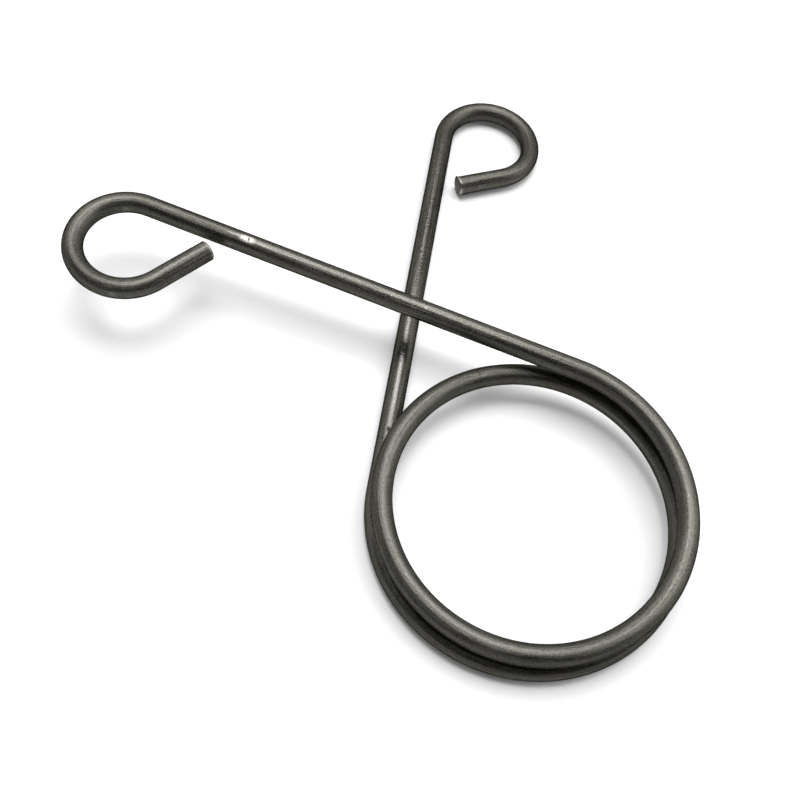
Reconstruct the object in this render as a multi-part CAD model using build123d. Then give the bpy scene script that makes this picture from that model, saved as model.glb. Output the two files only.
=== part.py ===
from build123d import *

import os
from math import atan, atan2, cos, degrees, radians, sin

import numpy as np
from scipy.optimize import linprog

# Torsion spring: one round wire, wound as a nearly closed coil of one and three quarter turns.
# Each end of the coil runs out tangentially as a straight arm, and each arm ends in an eye that
# curls the same way as the coil and stops short of closing. The arms cross each other beyond
# the coil. Millimetres and degrees, +Z up.
#
# The spring lies free on a flat floor, z = 0. The origin is where the coil's axis meets the
# floor, and +Y runs from the coil out between the two arms.

# ---- driving dimensions -------------------------------------------------------------------

WIRE_DIAMETER = 2.0

# The coil's diameter is its lower turn's, across the wire's centreline, and it narrows evenly
# by this much up to its upper end. The turns are wound with this gap between them, measured
# up the axis. The wrap is the angle wound between the two points where the arms leave.
COIL_DIAMETER = 27.75
COIL_NARROWING = 0.4
TURN_GAP = 0.3
COIL_WRAP = 620.0

# The coil leans: each turn sits this far to one side of the turn below it, in this direction,
# which is an angle about the coil's axis from the point where the lower arm leaves.
TURN_SHIFT = 0.55
SHIFT_DIRECTION = -105.0

# Straight length of each arm, from the coil's tangent point to the start of its eye.
ARM_LENGTH = 44.0

# Each eye is an arc with this clear diameter inside, bent through its sweep, then a straight
# tail that heads back to the arm and stops with this gap left between its cut end and the arm.
EYE_CLEAR_DIAMETER = 7.75
UPPER_EYE_SWEEP = 240.0
LOWER_EYE_SWEEP = 243.0
UPPER_EYE_GAP = 0.7
LOWER_EYE_GAP = 0.96

# The wire is cut square, and this small bevel runs round each cut.
CUT_BEVEL = 0.12

# ---- derived sizes ------------------------------------------------------------------------

WIRE_RADIUS = WIRE_DIAMETER / 2
EYE_RADIUS = EYE_CLEAR_DIAMETER / 2 + WIRE_RADIUS
COIL_PITCH = WIRE_DIAMETER + TURN_GAP
COIL_HEIGHT = COIL_PITCH * COIL_WRAP / 360
COIL_TAPER = -degrees(atan2(COIL_NARROWING / 2, COIL_HEIGHT))

# How finely each edge of the centreline is sampled to find how the spring lies, and how many
# times it is turned level on the floor that was found.
SAMPLES_PER_EDGE = 400
SETTLING_STEPS = 4

UP = Vector(0, 0, 1)


# ---- centreline ---------------------------------------------------------------------------


def coil_centreline():
    """The narrowing helix, right-handed and rising, leaning about its middle, which is on Z."""
    upright = Helix(
        pitch=COIL_PITCH / cos(radians(COIL_TAPER)),  # a cone's pitch runs along its slope
        height=COIL_HEIGHT,
        radius=COIL_DIAMETER / 2,
        cone_angle=COIL_TAPER,
    ).edge()
    lean = Vector(TURN_SHIFT / COIL_PITCH, 0, 0).rotate(Axis.Z, SHIFT_DIRECTION)
    middle = COIL_HEIGHT / 2
    shear = [[1, 0, lean.X, -lean.X * middle], [0, 1, lean.Y, -lean.Y * middle], [0, 0, 1, 0]]
    return upright.transform_geometry(Matrix(shear))


def tail_length(eye_sweep, eye_gap):
    """How far a tail runs past its eye's arc to leave the gap between its cut end and the arm."""
    back, across = -cos(radians(eye_sweep)), -sin(radians(eye_sweep))
    from_arm = EYE_RADIUS * (1 + back)
    return (from_arm - WIRE_RADIUS * (1 + abs(back)) - eye_gap) / across


def arm_centreline(start, heading, side, eye_sweep, eye_gap):
    """One arm from the coil outwards: straight, then the eye bent towards side, then the tail."""
    arm = Edge.make_line(start, start + heading * ARM_LENGTH)
    eye_centre = arm @ 1 + side * EYE_RADIUS
    eye_plane = Plane(origin=eye_centre, x_dir=-side, z_dir=heading.cross(side))
    eye = Edge.make_circle(EYE_RADIUS, eye_plane, 0, eye_sweep)
    tail_end = eye @ 1 + (eye % 1) * tail_length(eye_sweep, eye_gap)
    return [arm, eye, Edge.make_line(eye @ 1, tail_end)]


def spring_centreline():
    """The three edges of the lower arm, the coil, and the three edges of the upper arm."""
    coil = coil_centreline()
    lower_heading = -(coil % 0)
    upper_heading = coil % 1
    lower_side = lower_heading.cross(UP).normalized()
    upper_side = UP.cross(upper_heading).normalized()
    lower = arm_centreline(coil @ 0, lower_heading, lower_side, LOWER_EYE_SWEEP, LOWER_EYE_GAP)
    upper = arm_centreline(coil @ 1, upper_heading, upper_side, UPPER_EYE_SWEEP, UPPER_EYE_GAP)
    return lower, coil, upper


# ---- how the spring lies on the floor -----------------------------------------------------


def plane_under(edges):
    """Slopes along X and Y, and height at the origin, of the plane that the wire rests on.

    It is the highest plane under the centre of mass that no point of the centreline is below,
    so it touches the wire where a free spring would stand on a floor.
    """
    fractions = np.linspace(0, 1, SAMPLES_PER_EDGE)
    points = np.array([tuple(edge @ t) for edge in edges for t in fractions])
    lengths = np.repeat([edge.length for edge in edges], SAMPLES_PER_EDGE)
    centre = lengths @ points / lengths.sum()
    found = linprog(
        c=[-centre[0], -centre[1], -1],
        A_ub=np.column_stack([points[:, :2], np.ones(len(points))]),
        b_ub=points[:, 2],
        bounds=[(None, None)] * 3,
    )
    return found.x


def lying_pose(lower, coil, upper):
    """The location that sets the spring down on z = 0, with +Y midway between its arms."""
    edges = [*lower, coil, *upper]
    between = (lower[0] % 0) + (upper[0] % 0)
    pose = Location(Rotation(0, 0, degrees(atan2(between.X, between.Y))))

    for _ in range(SETTLING_STEPS):
        slope_x, slope_y, _ = plane_under([pose * edge for edge in edges])
        pose = Rotation(-degrees(atan(slope_y)), degrees(atan(slope_x)), 0) * pose

    _, _, height = plane_under([pose * edge for edge in edges])
    floor = Plane(origin=(0, 0, height - WIRE_RADIUS))
    coil_axis = Axis(pose.position, (pose * Edge.make_line((0, 0, 0), tuple(UP))) % 0)
    return Location(-floor.intersect(coil_axis)) * pose


# ---- the wire -----------------------------------------------------------------------------


def wire_along(edges):
    """The round wire along these edges, with its two cut ends bevelled."""
    path = Wire(edges)
    section = Plane(origin=path @ 0, z_dir=path % 0) * Circle(WIRE_RADIUS)
    wire = sweep(section, path=path)
    cuts = wire.faces().filter_by(GeomType.PLANE).edges()
    return chamfer(cuts, CUT_BEVEL)


lower_arm, coil, upper_arm = spring_centreline()
lying = lying_pose(lower_arm, coil, upper_arm)
torsion_spring = lying * wire_along([*lower_arm[::-1], coil, *upper_arm])

os.makedirs("parts", exist_ok=True)
export_step(torsion_spring, "parts/torsion_spring.step")
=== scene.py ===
from collections import namedtuple
from math import cos, pi, radians, sin, tan

import bpy
import numpy as np
from mathutils import Euler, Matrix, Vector


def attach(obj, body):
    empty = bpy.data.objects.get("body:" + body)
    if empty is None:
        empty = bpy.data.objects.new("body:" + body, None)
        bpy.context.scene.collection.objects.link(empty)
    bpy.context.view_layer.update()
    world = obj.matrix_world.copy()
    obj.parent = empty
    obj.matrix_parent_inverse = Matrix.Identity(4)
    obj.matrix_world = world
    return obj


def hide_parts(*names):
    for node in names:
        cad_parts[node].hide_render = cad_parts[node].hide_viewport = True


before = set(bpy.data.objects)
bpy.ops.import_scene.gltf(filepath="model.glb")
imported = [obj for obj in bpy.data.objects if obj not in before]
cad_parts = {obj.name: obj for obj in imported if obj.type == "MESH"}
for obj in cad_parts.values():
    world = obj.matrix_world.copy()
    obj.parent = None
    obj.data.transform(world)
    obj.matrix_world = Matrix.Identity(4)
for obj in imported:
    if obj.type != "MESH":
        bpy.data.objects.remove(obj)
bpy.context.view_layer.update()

MM = 0.001
WHITE = (1, 1, 1, 1)

# ---- the wire's centreline, in millimetres, in the coil's own frame ------------------------

WIRE_RADIUS = 1.0
COIL_DIAMETER = 27.75
COIL_NARROWING = 0.4
COIL_PITCH = 2.3
COIL_WRAP = radians(620.0)
TURN_SHIFT = 0.55
SHIFT_DIRECTION = radians(-105.0)
ARM_LENGTH = 44.0
EYE_RADIUS = 4.875
LOWER_EYE_SWEEP, LOWER_EYE_GAP = radians(243.0), 0.96
UPPER_EYE_SWEEP, UPPER_EYE_GAP = radians(240.0), 0.7

# How the coil's frame lies on the floor: its turn about X, Y and Z in degrees, and its origin.
LYING_ANGLES = (-1.588101, -0.384811, 140.054405)
LYING_TURN = np.array(Euler([radians(a) for a in LYING_ANGLES], "XYZ").to_matrix())
LYING_FOOT = np.array([-0.01178, -0.023806, 0.931085])

UP = np.array([0.0, 0.0, 1.0])

# Millimetres between the points of the centreline, and the small turn, in radians, to either
# side of a point of the coil that gives its heading.
CENTRELINE_STEP = 0.05
HEADING_STEP = 1e-4


def unit(v):
    return v / np.linalg.norm(v)


def coil_points(turned):
    """The narrowing helix, whose turns drift sideways about its middle."""
    turned = np.asarray(turned, float)
    radius = COIL_DIAMETER / 2 - COIL_NARROWING / 2 * turned / COIL_WRAP
    height = COIL_PITCH * turned / (2 * pi)
    drift = TURN_SHIFT * (turned - COIL_WRAP / 2) / (2 * pi)
    x = radius * np.cos(turned) + drift * cos(SHIFT_DIRECTION)
    y = radius * np.sin(turned) + drift * sin(SHIFT_DIRECTION)
    return np.stack([x, y, height], -1)


def coil_heading(turned):
    return unit(coil_points(turned + HEADING_STEP) - coil_points(turned - HEADING_STEP))


def tail_length(sweep, gap):
    """How far a tail runs to leave the gap between its cut end and the arm."""
    back, across = -cos(sweep), -sin(sweep)
    return (EYE_RADIUS * (1 + back) - WIRE_RADIUS * (1 + abs(back)) - gap) / across


def run_lengths(length):
    """Even steps along this length, without the start itself."""
    return np.linspace(0, length, int(length / CENTRELINE_STEP))[1:]


def arm_points(start, heading, side, sweep, gap):
    """Straight arm, eye and tail, without the start point itself."""
    straight = start + run_lengths(ARM_LENGTH)[:, None] * heading
    turns = run_lengths(sweep * EYE_RADIUS) / EYE_RADIUS
    around = np.sin(turns)[:, None] * heading + (1 - np.cos(turns))[:, None] * side
    eye = straight[-1] + EYE_RADIUS * around
    along = cos(sweep) * heading + sin(sweep) * side
    tail = eye[-1] + run_lengths(tail_length(sweep, gap))[:, None] * along
    return np.vstack([straight, eye, tail])


def centreline():
    """Points from the lower tail's cut end, through the coil, to the upper tail's cut end."""
    coil_steps = int(COIL_WRAP * COIL_DIAMETER / 2 / CENTRELINE_STEP)
    coil = coil_points(np.linspace(0, COIL_WRAP, coil_steps))
    low, high = -coil_heading(0.0), coil_heading(COIL_WRAP)
    low_side, high_side = unit(np.cross(low, UP)), unit(np.cross(UP, high))
    lower = arm_points(coil[0], low, low_side, LOWER_EYE_SWEEP, LOWER_EYE_GAP)
    upper = arm_points(coil[-1], high, high_side, UPPER_EYE_SWEEP, UPPER_EYE_GAP)
    return np.vstack([lower[::-1], coil, upper]) @ LYING_TURN.T + LYING_FOOT


# ---- the wire's surface, in millimetres ----------------------------------------------------

# Sides of the wire's section, and distances between its rings, the finer one at short marks.
SIDES = 80
RING_SPACING = 0.3
FINE_SPACING = 0.08

# The bevel round each cut, the depth of the dish in the cut face, and the face's rings as
# shares of its radius.
CUT_BEVEL = 0.12
CUT_DISH = 0.03
FACE_RINGS = (0.35, 0.7, 0.93, 1.0)
FACE_COUNT = len(FACE_RINGS)

# Places on the wire: millimetres along it from the lower eye's cut end, and degrees round it
# from a line that starts on top there and never twists about the wire. Half sizes and depth are
# millimetres; the last field is how far the mark is brightened: rubbed to bright metal on most
# marks, and a painted highlight on the highlight lines. Below zero, it is how dark the mark's
# bottom is.
Mark = namedtuple("Mark", "along around half_length half_width depth bare")
MARKS = [
    Mark(252.85, 9, 0.72, 0.34, 0.018, 0.74),  # a knock on the upper arm
    Mark(252.78, 10, 0.08, 0.20, 0.020, -0.80),  # the nick in the middle of it
    Mark(249.60, 3, 3.20, 0.06, 0.0, 0.24),  # the scratches that lead away from it
    Mark(251.40, 6, 1.00, 0.07, 0.004, 0.34),
    Mark(254.10, 12, 0.85, 0.07, 0.004, 0.34),
    Mark(234.70, 9, 0.12, 0.09, 0.020, 0.16),  # a ding nearer the coil
    Mark(63.90, 4, 0.17, 0.15, 0.050, -1.0),  # a pit on the lower arm
    Mark(42.85, 5, 0.16, 0.08, 0.015, 0.13),  # two dings nearer the eye
    Mark(43.50, 5, 0.10, 0.08, 0.015, 0.11),
    Mark(143.20, 8, 0.16, 0.10, 0.030, -0.6),  # a pitted patch on the coil
    Mark(142.60, 2, 0.22, 0.10, 0.025, 0.10),
    Mark(142.10, 9, 0.12, 0.09, 0.030, -0.6),
    Mark(141.80, -4, 0.20, 0.10, 0.020, 0.10),
    Mark(279.45, 43, 0.30, 0.16, 0.012, 0.08),  # rubs round the upper eye
    Mark(279.70, 88, 0.34, 0.22, 0.012, 0.12),
    Mark(265.30, -60, 0.50, 0.20, 0.010, 0.15),
    Mark(2.30, 69, 0.16, 0.14, 0.015, 0.18),  # rubs on the lower eye's tail
    Mark(2.75, 66, 0.10, 0.10, 0.010, 0.14),
    Mark(6.40, 77, 1.00, 0.10, 0.0, 0.14),
    Mark(285.60, 49, 4.50, 0.08, 0.012, -0.6),  # a draw line down the upper eye's tail
    Mark(285.60, 56, 4.50, 0.07, 0.0, 0.06),
    Mark(56.20, 3, 7.60, 0.14, 0.0, 0.28),  # a painted highlight down the lower arm, where the key lamp's reflection falls, and a darker groove beside it
    Mark(56.20, -17, 7.60, 0.12, 0.010, -0.45),
    Mark(38.00, 3, 9.00, 0.12, 0.0, 0.12),  # the same painted highlight and groove, fainter, towards the lower eye
    Mark(38.00, -18, 9.00, 0.12, 0.010, -0.35),
    Mark(147.50, 0, 6.50, 0.06, 0.008, -0.30),  # a draw line on the coil
    Mark(240.00, 18, 18.0, 0.13, 0.0, 0.11),  # a painted highlight along the upper arm, where the key lamp's reflection falls
]

# Marks of a smaller half length than this get the finer rings, as far as this many half lengths.
SHORT_MARK = 1.0
MARK_REACH = 2.2

# Bending dulls the draw lines, and this is half the length over which they fade out.
BEND_FADE = 1.5

# A burr where the shear left the lower eye's cut: degrees round, half width, and height.
BURR_AROUND, BURR_HALF_WIDTH, BURR_HEIGHT = radians(-60), radians(16), 0.11

# How bare the shear left the cut faces, the rims round them and the wire just beside them.
FACE_BARE, RIM_RUB, SIDE_RUB = 0.60, 0.90, 0.10


def is_near_short_mark(place):
    return any(
        mark.half_length < SHORT_MARK and abs(place - mark.along) < MARK_REACH * mark.half_length
        for mark in MARKS
    )


def ring_places(length):
    """Distances along the wire for the rings between its two bevels."""
    places = [2 * CUT_BEVEL]
    while places[-1] < length - 2 * CUT_BEVEL - RING_SPACING:
        finer = is_near_short_mark(places[-1] + RING_SPACING)
        places.append(places[-1] + (FINE_SPACING if finer else RING_SPACING))
    return np.append(places, length - 2 * CUT_BEVEL)


def wire_rings(length):
    """Distance along the wire and radius of every ring, from one cut face to the other."""
    body = ring_places(length)

    # Each cut end has its face's rings, then the outer edge of its bevel.
    end_radii = np.append((WIRE_RADIUS - CUT_BEVEL) * np.array(FACE_RINGS), WIRE_RADIUS)
    end_places = np.append(np.zeros(FACE_COUNT), CUT_BEVEL)
    places = np.concatenate([end_places, body, length - end_places[::-1]])
    radii = np.concatenate([end_radii, np.full(len(body), WIRE_RADIUS), end_radii[::-1]])
    return places, radii


def frames_along(points):
    """Tangents, and two directions square to them that never twist about the wire."""
    tangents = np.gradient(points, axis=0)
    tangents /= np.linalg.norm(tangents, axis=1)[:, None]
    across = np.zeros_like(points)
    guess = UP
    for i, t in enumerate(tangents):
        guess = unit(guess - t * (guess @ t))
        across[i] = guess
    return tangents, across, np.cross(tangents, across)


def turn_from(angles, middle):
    """The angles as turns from the middle, between minus and plus half a turn."""
    return (angles - middle + pi) % (2 * pi) - pi


def mark_fields(places, angles):
    """Depth, bright rubbing and painted highlight, and dark bottoms of the marks, at every ring
    and side.
    """
    depth = np.zeros((len(places), len(angles)))
    bright_wear_and_highlight, dark = depth.copy(), depth.copy()
    for mark in MARKS:
        along = (places - mark.along) / mark.half_length
        around = turn_from(angles, radians(mark.around)) * WIRE_RADIUS / mark.half_width
        shape = np.exp(-(along[:, None] ** 4) - around[None, :] ** 4)
        depth += mark.depth * shape
        bright_wear_and_highlight = np.maximum(bright_wear_and_highlight, mark.bare * shape)
        dark = np.maximum(dark, -mark.bare * shape)
    return depth, bright_wear_and_highlight * (1 - dark), dark


def burr_height(angles):
    """How far the burr stands out from the rim of the lower eye's cut, all round it."""
    return BURR_HEIGHT * np.exp(-((turn_from(angles, BURR_AROUND) / BURR_HALF_WIDTH) ** 2))


def straightness(places, length):
    """One on the straight arms and tails, and zero on the coil and the eyes."""
    lower_eye = tail_length(LOWER_EYE_SWEEP, LOWER_EYE_GAP)
    lower_arm = lower_eye + LOWER_EYE_SWEEP * EYE_RADIUS
    upper_eye = length - tail_length(UPPER_EYE_SWEEP, UPPER_EYE_GAP)
    upper_arm = upper_eye - UPPER_EYE_SWEEP * EYE_RADIUS
    coil = lower_arm + ARM_LENGTH, upper_arm - ARM_LENGTH
    changes = np.array([lower_eye, lower_arm, *coil, upper_arm, upper_eye])
    knots = np.stack([changes - BEND_FADE, changes + BEND_FADE], -1).ravel()
    return np.interp(places, knots, [1, 0, 0, 1] * 3)


def wire_faces(count):
    """Quads between this many rings, then a fan of triangles in the middle of each cut face."""
    index = np.arange(count * SIDES).reshape(count, SIDES)
    after = np.roll(index, -1, 1)
    quads = np.stack([index[:-1], after[:-1], after[1:], index[1:]], -1).reshape(-1, 4)
    first_middle, last_middle = count * SIDES, count * SIDES + 1
    fans = [(a, first_middle, b) for a, b in zip(index[0], after[0])]
    fans += [(b, last_middle, a) for a, b in zip(index[-1], after[-1])]
    return quads.tolist() + fans


def wire_mesh():
    """The wire as one closed mesh, with its layout and what its material reads."""
    points = centreline()
    tangents, across, beside = frames_along(points)
    steps = np.linalg.norm(np.diff(points, axis=0), axis=1)
    run = np.concatenate([[0], np.cumsum(steps)])
    length = run[-1]
    places, radii = wire_rings(length)
    angles = np.linspace(0, 2 * pi, SIDES, endpoint=False)

    def at_rings(values):
        return np.stack([np.interp(places, run, values[:, k]) for k in range(3)], -1)

    depth, bright_wear_and_highlight, dark = mark_fields(places, angles)
    rim = slice(FACE_COUNT - 1, FACE_COUNT + 1)
    for end in (bright_wear_and_highlight, bright_wear_and_highlight[::-1]):
        end[: FACE_COUNT - 1] = FACE_BARE
        end[rim] = RIM_RUB
        end[FACE_COUNT + 1] = SIDE_RUB
    depth[rim] -= burr_height(angles)

    reach = radii[:, None] - depth
    out = np.cos(angles)[None, :, None] * at_rings(across)[:, None]
    out = out + np.sin(angles)[None, :, None] * at_rings(beside)[:, None]
    rings = at_rings(points)[:, None] + reach[:, :, None] * out
    dish = CUT_DISH * (1 - np.array(FACE_RINGS) ** 2)
    rings[:FACE_COUNT] += dish[:, None, None] * tangents[0]
    rings[-FACE_COUNT:] -= dish[::-1, None, None] * tangents[-1]
    middles = [points[0] + CUT_DISH * tangents[0], points[-1] - CUT_DISH * tangents[-1]]
    verts = np.vstack([rings.reshape(-1, 3), middles])

    mesh = bpy.data.meshes.new("torsion_spring_wire")
    mesh.from_pydata((verts * MM).tolist(), [], wire_faces(len(places)))
    mesh.polygons.foreach_set("use_smooth", [True] * len(mesh.polygons))

    def per_vertex(name, kind, field, values, at_middles):
        attribute = mesh.attributes.new(name, kind, "POINT")
        together = np.concatenate([values, at_middles]).astype(np.float32)
        attribute.data.foreach_set(field, together.ravel())

    # The straightened wire runs along X, so its texture follows the bends of the real one.
    straight_y = (radii[:, None] * np.cos(angles)).ravel()
    straight_z = (radii[:, None] * np.sin(angles)).ravel()
    straight = np.stack([np.repeat(places, SIDES), straight_y, straight_z], -1)
    per_vertex("wire_mm", "FLOAT_VECTOR", "vector", straight, [[0, 0, 0], [length, 0, 0]])
    # How far each point is brightened: rubbed wear, bare cut faces and painted highlight lines.
    per_vertex("bare", "FLOAT", "value", bright_wear_and_highlight.ravel(), [FACE_BARE, FACE_BARE])
    per_vertex("pit", "FLOAT", "value", dark.ravel(), [0, 0])
    drawn = np.repeat(straightness(places, length), SIDES)
    per_vertex("drawn", "FLOAT", "value", drawn, [1, 1])
    lay_out(mesh, places, radii, angles)
    return mesh


# Strips of the flat layout, the share of its width that they take, and how much of its own
# height each one fills.
STRIPS = 7
STRIP_SHARE = 0.93
STRIP_FILL = 0.96


def lay_out(mesh, places, radii, angles):
    """A flat layout: the wire in straight strips, one above another, and its two cut faces."""
    strip_length = places[-1] / STRIPS
    scale = STRIP_SHARE / (strip_length + RING_SPACING)
    rings, sides = np.meshgrid(np.arange(len(places) - 1), np.arange(SIDES), indexing="ij")
    corner_ring = np.stack([rings, rings, rings + 1, rings + 1], -1)
    corner_side = np.stack([sides, sides + 1, sides + 1, sides], -1)
    strip = np.minimum(places[rings] // strip_length, STRIPS - 1)[..., None]
    u = (places[corner_ring] - strip * strip_length) * scale
    v = (strip + (1 - STRIP_FILL) / 2 + STRIP_FILL * corner_side / SIDES) / STRIPS

    def face_middle(end):
        return (1 + STRIP_SHARE) / 2, (end + 0.5) / STRIPS

    def on_face(ring, side, end):
        middle_u, middle_v = face_middle(end)
        turn = angles[side % SIDES]
        flat = radii[ring] * scale
        return middle_u + flat * np.cos(turn), middle_v + flat * np.sin(turn)

    last_face = len(places) - FACE_COUNT
    for end, is_face in ((0, rings < FACE_COUNT - 1), (1, rings >= last_face)):
        face_u, face_v = on_face(corner_ring, corner_side, end)
        u = np.where(is_face[..., None], face_u, u)
        v = np.where(is_face[..., None], face_v, v)
    corners = [np.stack([u, v], -1).reshape(-1, 2)]

    # The corners of each fan's triangles, in wire_faces' order: a side, or None for the middle.
    side = np.arange(SIDES)
    for end, ring, order in ((0, 0, (0, None, 1)), (1, len(places) - 1, (1, None, 0))):
        middle = [np.full(SIDES, value) for value in face_middle(end)]
        fan = [middle if step is None else on_face(ring, side + step, end) for step in order]
        corners.append(np.stack([np.stack(c, -1) for c in fan], 1).reshape(-1, 2))
    layer = mesh.uv_layers.new(name="OFBake")
    layer.data.foreach_set("uv", np.vstack(corners).astype(np.float32).ravel())


# ---- node trees and objects ----------------------------------------------------------------


class Graph:
    """A node tree, with short ways to add to it. A value is an output, or a plain value."""

    def __init__(self, owner):
        owner.use_nodes = True
        self.nodes = owner.node_tree.nodes
        self.links = owner.node_tree.links

    def feed(self, socket, value):
        if isinstance(value, bpy.types.NodeSocket):
            self.links.new(value, socket)
        else:
            socket.default_value = value

    def combine(self, operation, a, b):
        node = self.nodes.new("ShaderNodeMath")
        node.operation = operation
        self.feed(node.inputs[0], a)
        self.feed(node.inputs[1], b)
        return node.outputs[0]

    def total(self, first, *others):
        for other in others:
            first = self.combine("ADD", first, other)
        return first

    def ramp(self, value, low, high, start=0.3, end=0.7, easing="LINEAR"):
        """From low to high as value goes from start to end, by default most of a noise's range."""
        node = self.nodes.new("ShaderNodeMapRange")
        node.interpolation_type = easing
        self.feed(node.inputs["Value"], value)
        self.feed(node.inputs["From Min"], start)
        self.feed(node.inputs["From Max"], end)
        self.feed(node.inputs["To Min"], low)
        self.feed(node.inputs["To Max"], high)
        return node.outputs["Result"]

    def blend(self, factor, low, high):
        """From the low colour to the high one as factor goes from 0 to 1."""
        node = self.nodes.new("ShaderNodeMix")
        node.data_type = "RGBA"
        self.feed(node.inputs["Factor"], factor)
        colours = [socket for socket in node.inputs if socket.type == "RGBA"]
        self.feed(colours[0], low)
        self.feed(colours[1], high)
        return [socket for socket in node.outputs if socket.type == "RGBA"][0]


def new_object(name, data):
    """An object with this data, linked into the scene."""
    made = bpy.data.objects.new(name, data)
    bpy.context.scene.collection.objects.link(made)
    return made


# ---- steel ---------------------------------------------------------------------------------

OXIDE_DARK = (0.0245, 0.0237, 0.0193, 1)
OXIDE_PALE = (0.126, 0.1222, 0.1095, 1)
# Bare steel's colour, for rubbed wear and for the painted highlight lines.
BARE_METAL_AND_HIGHLIGHT = (0.46, 0.445, 0.42, 1)
PIT_BOTTOM = (0.012, 0.012, 0.011, 1)
EDGE_TINT = (0.12, 0.12, 0.12, 1)

# Drawn wire spreads its reflections round itself, across the draw lines: how much, and by what
# share of a turn that is away from the wire's own direction.
SPREAD = 0.83
SPREAD_TURN = 0.25

# How deep the draw lines show on the bends and on the straight parts.
LINES_BENT = 0.65
LINES_STRAIGHT = 1.40

# How much smoother the rubbed metal and the painted highlight lines are, and the height of the
# relief.
RUBBED_GLOSS = 0.06
RELIEF_HEIGHT = 0.016 * MM

# Layers of noise: grains to a millimetre along the wire and round it, detail and roughness.
Layer = namedtuple("Layer", "per_mm_along per_mm_round detail roughness")
DRAW_LINES = Layer(0.05, 3.4, 3.0, 0.75)
FINE_LINES = Layer(0.16, 9.0, 2.0, 0.6)
GRAIN = Layer(6.5, 8.5, 2.0, 0.6)
MOTTLE = Layer(0.5, 0.9, 2.0, 0.5)
SPECKS = Layer(2.6, 5.5, 1.0, 0.5)
NOISE_MEAN = 0.5


def steel():
    """Oil-tempered spring steel: a thin dark oxide over draw lines, rubbed bright at the marks,
    with painted highlight along a few lines.
    """
    mat = bpy.data.materials.new("spring_wire")
    graph = Graph(mat)
    combine, total, ramp, blend = graph.combine, graph.total, graph.ramp, graph.blend
    shader = graph.nodes["Principled BSDF"].inputs
    shader["Metallic"].default_value = 1.0
    shader["Specular Tint"].default_value = EDGE_TINT
    shader["Anisotropic"].default_value = SPREAD
    shader["Anisotropic Rotation"].default_value = SPREAD_TURN
    along_wire = graph.nodes.new("ShaderNodeTangent")
    along_wire.direction_type = "UV_MAP"
    along_wire.uv_map = "OFBake"
    graph.feed(shader["Tangent"], along_wire.outputs[0])

    def attribute(name, output="Fac"):
        node = graph.nodes.new("ShaderNodeAttribute")
        node.attribute_name = name
        return node.outputs[output]

    wire = attribute("wire_mm", "Vector")

    def noise(layer):
        """A layer of noise in the straightened wire's own millimetres."""
        stretch = graph.nodes.new("ShaderNodeVectorMath")
        stretch.operation = "MULTIPLY"
        graph.feed(stretch.inputs[0], wire)
        grains = (layer.per_mm_along, layer.per_mm_round, layer.per_mm_round)
        graph.feed(stretch.inputs[1], grains)
        node = graph.nodes.new("ShaderNodeTexNoise")
        graph.feed(node.inputs["Vector"], stretch.outputs[0])
        graph.feed(node.inputs["Scale"], 1.0)
        graph.feed(node.inputs["Detail"], layer.detail)
        graph.feed(node.inputs["Roughness"], layer.roughness)
        return node.outputs["Fac"]

    bare, pit, drawn = attribute("bare"), attribute("pit"), attribute("drawn")
    line_depth = ramp(drawn, LINES_BENT, LINES_STRAIGHT, 0.0, 1.0)
    lines = combine("SUBTRACT", noise(DRAW_LINES), NOISE_MEAN)
    draw_lines = combine("ADD", combine("MULTIPLY", lines, line_depth), NOISE_MEAN)
    fine_lines, grain, mottle = noise(FINE_LINES), noise(GRAIN), noise(MOTTLE)

    # Only the peaks of this layer show, as small rubs all over the wire.
    specks = ramp(noise(SPECKS), 0.0, 0.22, 0.74, 0.80)

    tone = total(
        ramp(draw_lines, 0.0, 0.36, 0.41, 0.59),
        ramp(grain, 0.0, 0.46, 0.36, 0.64),
        ramp(fine_lines, 0.0, 0.16, 0.40, 0.60),
        ramp(mottle, 0.0, 0.06),
    )
    # Rubbed wear, specks and the painted highlight lines, all in bare steel's colour.
    rubbed_and_highlight = combine("MAXIMUM", combine("MULTIPLY", bare, ramp(grain, 0.7, 1.1)), specks)
    metal = blend(rubbed_and_highlight, blend(tone, OXIDE_DARK, OXIDE_PALE), BARE_METAL_AND_HIGHLIGHT)
    graph.feed(shader["Base Color"], blend(pit, metal, PIT_BOTTOM))

    rough = total(
        ramp(grain, 0.27, 0.33),
        ramp(mottle, -0.02, 0.03),
        ramp(fine_lines, -0.015, 0.015),
        ramp(drawn, 0.02, -0.02, 0.0, 1.0),
    )
    gloss = combine("MULTIPLY", rubbed_and_highlight, RUBBED_GLOSS)
    graph.feed(shader["Roughness"], combine("SUBTRACT", rough, gloss))

    relief = total(
        ramp(draw_lines, 0.0, 0.80),
        ramp(fine_lines, 0.0, 0.30),
        ramp(grain, 0.0, 0.46),
    )
    bump = graph.nodes.new("ShaderNodeBump")
    graph.feed(bump.inputs["Strength"], 1.0)
    graph.feed(bump.inputs["Distance"], RELIEF_HEIGHT)
    graph.feed(bump.inputs["Height"], relief)
    graph.feed(shader["Normal"], bump.outputs["Normal"])
    return mat


spring = new_object("torsion_spring_wire", wire_mesh())
spring.data.materials.append(steel())
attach(spring, "root")
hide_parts("torsion_spring")

# ---- floor, light and camera ---------------------------------------------------------------

# Half the floor's width in metres, its grey, how matt it is, and its glow.
FLOOR_HALF = 0.6
FLOOR_COLOUR = 0.92
FLOOR_ROUGHNESS = 0.9
FLOOR_GLOW = 0.07


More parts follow.
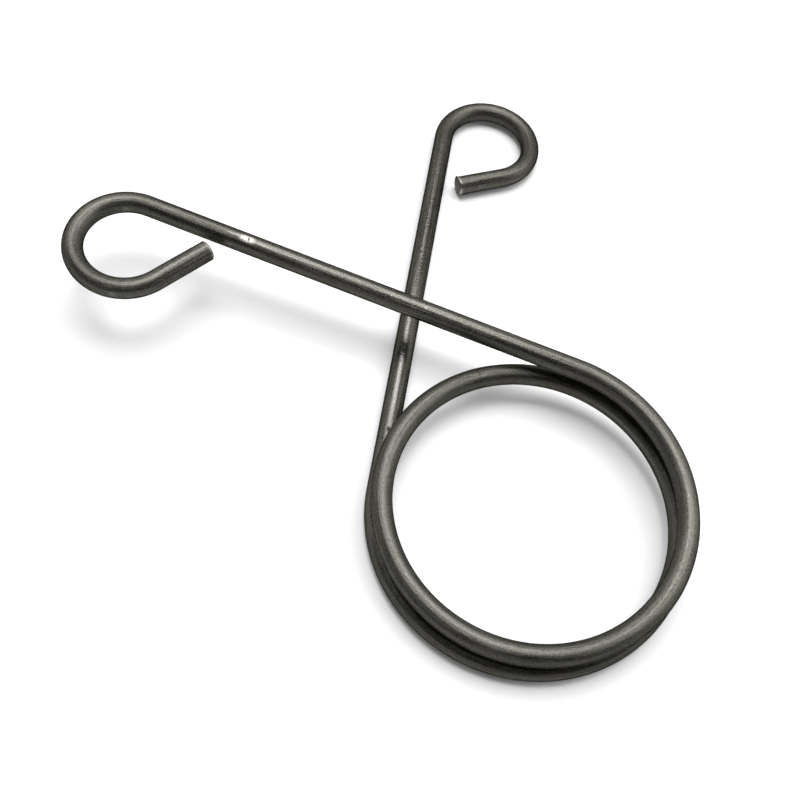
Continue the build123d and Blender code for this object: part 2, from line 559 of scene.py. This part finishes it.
def floor():
    """A matt white floor, with a faint glow that shows to the camera and in reflections."""
    mesh = bpy.data.meshes.new("floor")
    h = FLOOR_HALF
    mesh.from_pydata([(-h, -h, 0), (h, -h, 0), (h, h, 0), (-h, h, 0)], [], [(0, 1, 2, 3)])
    mat = bpy.data.materials.new("floor")
    graph = Graph(mat)
    shader = graph.nodes["Principled BSDF"].inputs
    shader["Base Color"].default_value = (FLOOR_COLOUR, FLOOR_COLOUR, FLOOR_COLOUR, 1)
    shader["Roughness"].default_value = FLOOR_ROUGHNESS
    shader["Specular IOR Level"].default_value = 0.0
    shader["Emission Color"].default_value = WHITE
    rays = graph.nodes.new("ShaderNodeLightPath").outputs
    seen = graph.combine("MAXIMUM", rays["Is Camera Ray"], rays["Is Glossy Ray"])
    seen = graph.combine("MAXIMUM", seen, rays["Is Transmission Ray"])
    graph.feed(shader["Emission Strength"], graph.combine("MULTIPLY", seen, FLOOR_GLOW))
    mesh.materials.append(mat)
    new_object("floor", mesh)


# Soft rectangular lamps, all at one distance, in metres, from the point that they aim at. Their
# places and sizes are in degrees as seen from there, and their radiance in W/(m2 sr).
LAMP_DISTANCE = 8.0
LAMP_AIM = Vector((0, 0.015, 0))
Lamp = namedtuple("Lamp", "name azimuth elevation across upright radiance")
LAMPS = [
    Lamp("key", 55, 69, 46, 34, 5.7),
    Lamp("overhead", 50, 85, 11, 24, 6.2),
    Lamp("side", -26, 47, 35, 32, 2.7),
]


def hang(lamp):
    """One lamp, out of the camera's sight."""
    light = bpy.data.lights.new(lamp.name, "AREA")
    light.shape = "RECTANGLE"
    light.size = 2 * LAMP_DISTANCE * tan(radians(lamp.across / 2))
    light.size_y = 2 * LAMP_DISTANCE * tan(radians(lamp.upright / 2))
    light.energy = lamp.radiance * pi * light.size * light.size_y
    azimuth, elevation = radians(lamp.azimuth), radians(lamp.elevation)
    flat = cos(elevation)
    away = Vector((cos(azimuth) * flat, sin(azimuth) * flat, sin(elevation)))
    hung = new_object(lamp.name, light)
    hung.location = LAMP_AIM + away * LAMP_DISTANCE
    hung.rotation_mode = "QUATERNION"
    hung.rotation_quaternion = away.to_track_quat("Z", "Y")
    hung.visible_camera = False


floor()
for lamp in LAMPS:
    hang(lamp)

# The room's brightness. It goes from the first to the second between the two elevations: all
# round the horizon, and up the wall that is centred on this azimuth.
HORIZON_LIGHT, HORIZON_FADE = (1.0, 0.0), (radians(6), radians(22))
WALL_LIGHT, WALL_FADE = (1.0, 0.0), (radians(34), radians(50))
WALL_AZIMUTH = radians(56)

# The wall's two sides fade in between these cosines of the angle away from its middle.
WALL_SIDES = (-0.2, 0.5)


def surroundings():
    """The room: pale round the horizon and up the wall behind, dark everywhere else."""
    world = bpy.data.worlds.new("world")
    graph = Graph(world)
    direction = graph.nodes.new("ShaderNodeTexCoord").outputs["Generated"]
    split = graph.nodes.new("ShaderNodeSeparateXYZ")
    graph.feed(split.inputs[0], direction)
    towards_wall = graph.nodes.new("ShaderNodeVectorMath")
    towards_wall.operation = "DOT_PRODUCT"
    graph.feed(towards_wall.inputs[0], direction)
    graph.feed(towards_wall.inputs[1], (cos(WALL_AZIMUTH), sin(WALL_AZIMUTH), 0))

    def eased(value, levels, ends):
        return graph.ramp(value, *levels, *ends, easing="SMOOTHSTEP")

    height = split.outputs["Z"]
    horizon = eased(height, HORIZON_LIGHT, [sin(a) for a in HORIZON_FADE])
    wall = eased(height, WALL_LIGHT, [sin(a) for a in WALL_FADE])
    sides = eased(towards_wall.outputs["Value"], (0.0, 1.0), WALL_SIDES)
    light = graph.combine("MAXIMUM", horizon, graph.combine("MULTIPLY", wall, sides))
    background = graph.nodes["Background"].inputs
    graph.feed(background["Strength"], light)
    graph.feed(background["Color"], WHITE)
    bpy.context.scene.world = world


surroundings()

# The camera's place in millimetres, its turn in degrees, its focal length in widths of the
# picture, and how near and how far it sees, in metres.
CAMERA_PLACE = (-36.8426, -21.0506, 88.0980)
CAMERA_TURN = (28.84124, -6.02579, -30.60071)
FOCAL_LENGTH = 1045.10 / 800
CAMERA_NEAR = 0.005
CAMERA_FAR = 10

camera_data = bpy.data.cameras.new("camera")
camera_data.sensor_fit = "HORIZONTAL"
camera_data.lens = camera_data.sensor_width * FOCAL_LENGTH
camera_data.clip_start = CAMERA_NEAR
camera_data.clip_end = CAMERA_FAR
camera = new_object("camera", camera_data)
camera.location = Vector(CAMERA_PLACE) * MM
camera.rotation_euler = [radians(a) for a in CAMERA_TURN]
bpy.context.scene.camera = camera

bpy.context.scene.view_settings.view_transform = "Standard"
